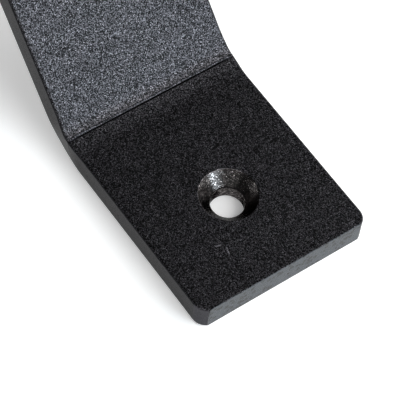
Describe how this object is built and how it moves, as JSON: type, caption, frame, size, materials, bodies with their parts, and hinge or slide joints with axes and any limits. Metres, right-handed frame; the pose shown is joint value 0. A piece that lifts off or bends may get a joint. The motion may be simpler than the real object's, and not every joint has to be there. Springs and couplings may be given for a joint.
{
  "type": "diagonal shelf bracket",
  "caption": "Diagonal shelf bracket bent from one flat steel bar: a brace with a countersunk screw foot at each end, in textured black powder coat.",
  "frame": {"origin": "centre of the shelf foot's screw hole, on the foot's mounting face", "axes": "+Z out of the shelf board's face along the screw hole, towards the countersink; +Y along the shelf towards the wall; +X across the bar. The mounting faces lie on z = 0 and on y = 180.5 mm. It may be fixed either way up, so under a shelf -Z points up."},
  "size_m": [0.04, 0.2, 0.2],
  "materials": {
    "powder_coat": "fine-textured satin black powder coat"
  },
  "bodies": {
    "root": {"bracket": "powder_coat"}
  },
  "joints": []
}
